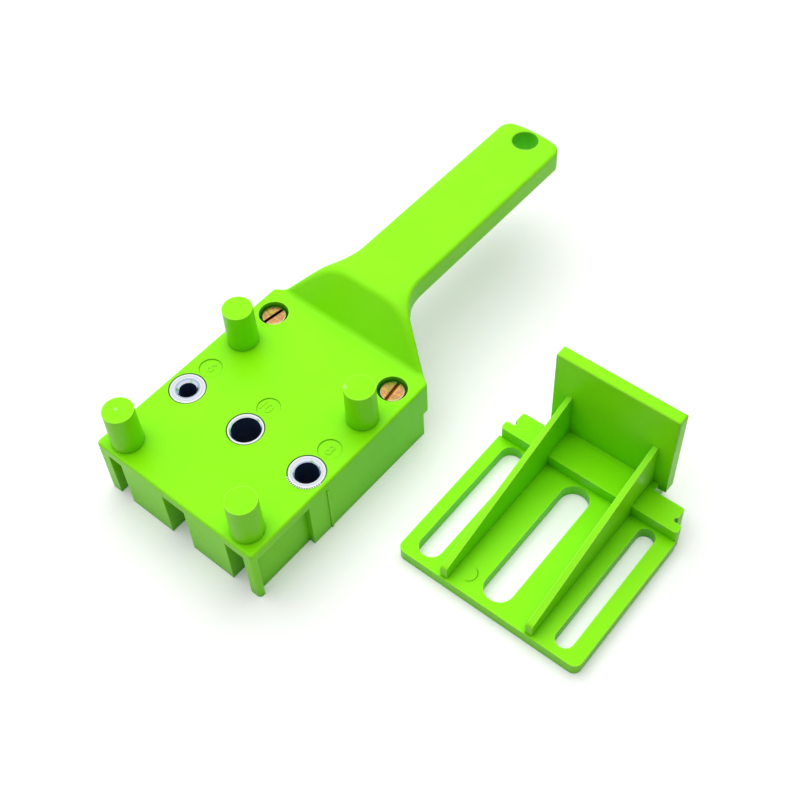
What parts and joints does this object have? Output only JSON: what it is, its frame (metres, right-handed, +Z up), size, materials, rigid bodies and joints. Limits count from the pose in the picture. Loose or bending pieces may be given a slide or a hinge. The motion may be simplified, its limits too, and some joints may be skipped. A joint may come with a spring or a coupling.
{
  "type": "doweling jig",
  "caption": "Moulded doweling jig with a raised handle, steel drill guide bushes, locating posts and a separate slotted edge stop.",
  "frame": {"origin": "on the floor under the block, where the axis of the middle guide bush meets the base", "axes": "+X along the row of guide bushes towards the edge stop, +Y along the handle, +Z up out of the guide bushes"},
  "size_m": [0.1634, 0.1919, 0.0445],
  "materials": {
    "green_plastic": "satin moulded ABS, lime green",
    "bush_steel": "bright turned steel",
    "yellow_zinc": "yellow passivated zinc"
  },
  "bodies": {
    "root": {"jig_body": "green_plastic", "bush_6mm": "bush_steel", "bush_10mm": "bush_steel", "bush_8mm": "bush_steel", "edge_stop": "green_plastic"},
    "left_screw": {"left_screw": "yellow_zinc"},
    "right_screw": {"right_screw": "yellow_zinc"},
    "left_nut": {"left_nut": "yellow_zinc"},
    "right_nut": {"right_nut": "yellow_zinc"}
  },
  "joints": [
    {"name": "left_screw_turn", "type": "hinge", "parent": "root", "child": "left_screw", "pos_m": [-0.027, 0.0421, 0.0205], "axis": [0, 0, 1], "range_deg": [0, 3240]},
    {"name": "right_screw_turn", "type": "hinge", "parent": "root", "child": "right_screw", "pos_m": [0.027, 0.0421, 0.0205], "axis": [0, 0, 1], "range_deg": [0, 3240]},
    {"name": "left_nut_slide", "type": "slide", "parent": "root", "child": "left_nut", "axis": [0, 0, -1], "range_m": [0, 0.0072]},
    {"name": "right_nut_slide", "type": "slide", "parent": "root", "child": "right_nut", "axis": [0, 0, -1], "range_m": [0, 0.0072]}
  ],
  "couplings": [
    {"joint": "left_screw_turn", "follows": "left_nut_slide", "rad_per_m": 7854},
    {"joint": "right_screw_turn", "follows": "right_nut_slide", "rad_per_m": 7854}
  ]
}
